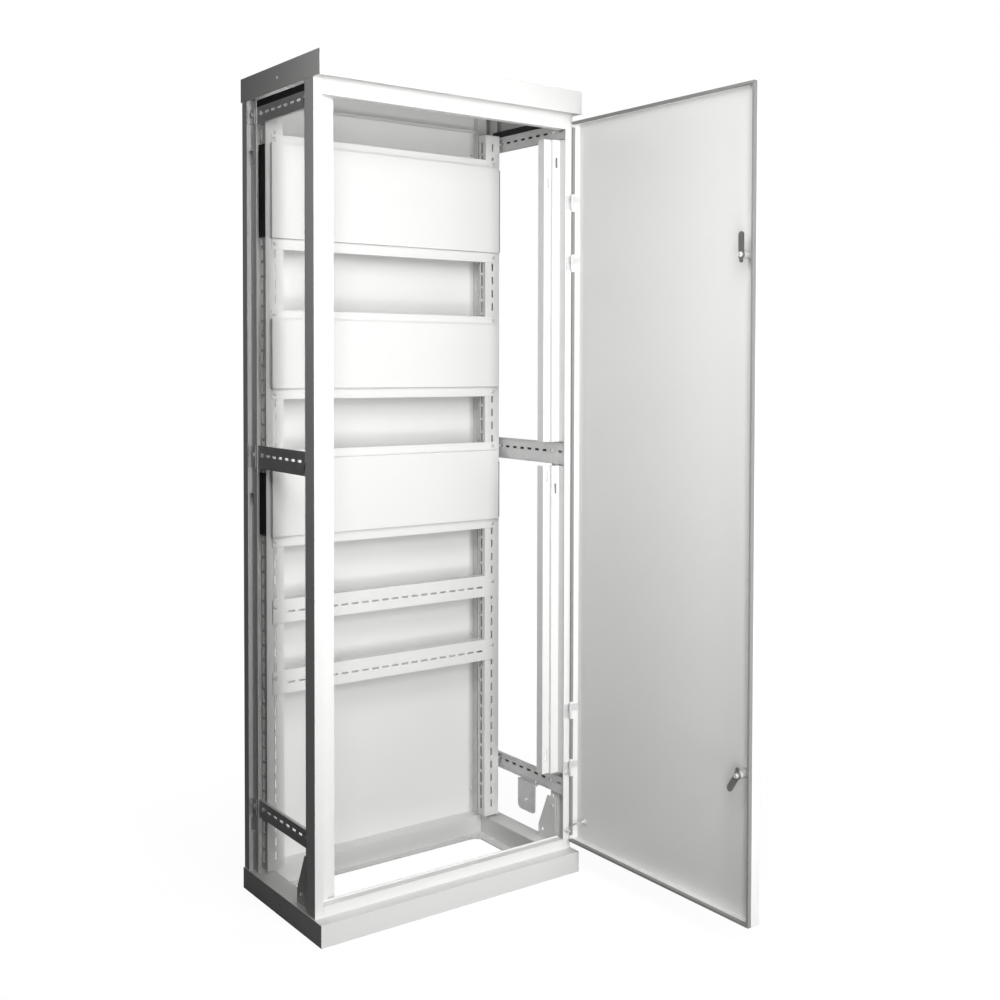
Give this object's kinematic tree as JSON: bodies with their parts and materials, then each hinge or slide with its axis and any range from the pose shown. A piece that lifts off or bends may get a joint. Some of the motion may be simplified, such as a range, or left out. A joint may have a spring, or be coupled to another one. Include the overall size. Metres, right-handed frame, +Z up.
{
  "type": "switchboard cabinet",
  "caption": "Floor-standing open-frame steel switchboard cabinet with a hinged full-height door, perforated uprights, cover panels and mounting rails.",
  "frame": {"origin": "on the floor, under the middle of the plinth's front beam", "axes": "+Z up, the cabinet's front faces -Y, +X to the right seen from the front"},
  "size_m": [0.722, 1.109, 2],
  "materials": {
    "frame_coat": "satin powder coat with a fine orange-peel texture",
    "panel_coat": "satin powder coat on flat sheet",
    "zinc_plate": "bright zinc plate",
    "dark_steel": "dark zinc-plated steel",
    "seal_foam": "matt foamed rubber",
    "lead_sheath": "soft cable sheath"
  },
  "bodies": {
    "cabinet": {"plinth_front": "frame_coat", "plinth_rear": "frame_coat", "plinth_left": "frame_coat", "plinth_right": "frame_coat", "gusset_front_left": "frame_coat", "gusset_front_right": "frame_coat", "gusset_rear_left": "frame_coat", "gusset_rear_right": "frame_coat", "post_front_left": "frame_coat", "post_front_right": "frame_coat", "post_rear_left": "frame_coat", "post_rear_right": "frame_coat", "front_header": "frame_coat", "front_sill": "frame_coat", "rear_header": "frame_coat", "back_panel": "panel_coat", "roof_cap": "frame_coat", "side_rail_top_left": "zinc_plate", "side_rail_top_right": "zinc_plate", "side_rail_middle_left": "zinc_plate", "side_rail_middle_right": "zinc_plate", "side_rail_bottom_left": "zinc_plate", "side_rail_bottom_right": "zinc_plate", "upright_left": "frame_coat", "upright_right": "frame_coat", "cover_panel_upper": "panel_coat", "cover_panel_middle": "panel_coat", "cover_panel_lower": "panel_coat", "cross_rail_upper_head": "frame_coat", "cross_rail_upper_foot": "frame_coat", "cross_rail_middle_head": "frame_coat", "cross_rail_middle_foot": "frame_coat", "cross_rail_lower_head": "frame_coat", "cross_rail_lower_foot": "frame_coat", "mounting_rail_upper": "frame_coat", "mounting_rail_lower": "frame_coat", "foot_plate_left": "frame_coat", "foot_plate_right": "frame_coat", "earth_bracket": "zinc_plate", "hinge_1_frame_half": "zinc_plate", "hinge_2_frame_half": "zinc_plate", "hinge_3_frame_half": "zinc_plate", "hinge_4_frame_half": "zinc_plate"},
    "door": {"door_shell": "panel_coat", "door_seal": "seal_foam", "bonding_lead": "lead_sheath", "upper_lock_body": "zinc_plate", "upper_lock_nut": "zinc_plate", "lower_lock_body": "zinc_plate", "lower_lock_nut": "zinc_plate", "hinge_1_door_half": "zinc_plate", "hinge_2_door_half": "zinc_plate", "hinge_3_door_half": "zinc_plate", "hinge_4_door_half": "zinc_plate"},
    "upper_lock_lever": {"upper_lock_rotor": "dark_steel", "upper_lock_cam": "dark_steel"},
    "lower_lock_lever": {"lower_lock_rotor": "dark_steel", "lower_lock_cam": "dark_steel"}
  },
  "joints": [
    {"name": "door_hinge", "type": "hinge", "parent": "cabinet", "child": "door", "pos_m": [0.342, 0.005, 1], "axis": [0, 0, 1], "range_deg": [-90, 15]},
    {"name": "upper_lock_turn", "type": "hinge", "parent": "door", "child": "upper_lock_lever", "pos_m": [0.33, -0.6545, 1.552], "axis": [-1, 0, 0], "range_deg": [0, 90]},
    {"name": "lower_lock_turn", "type": "hinge", "parent": "door", "child": "lower_lock_lever", "pos_m": [0.33, -0.6545, 0.408], "axis": [-1, 0, 0], "range_deg": [-90, 0]}
  ]
}
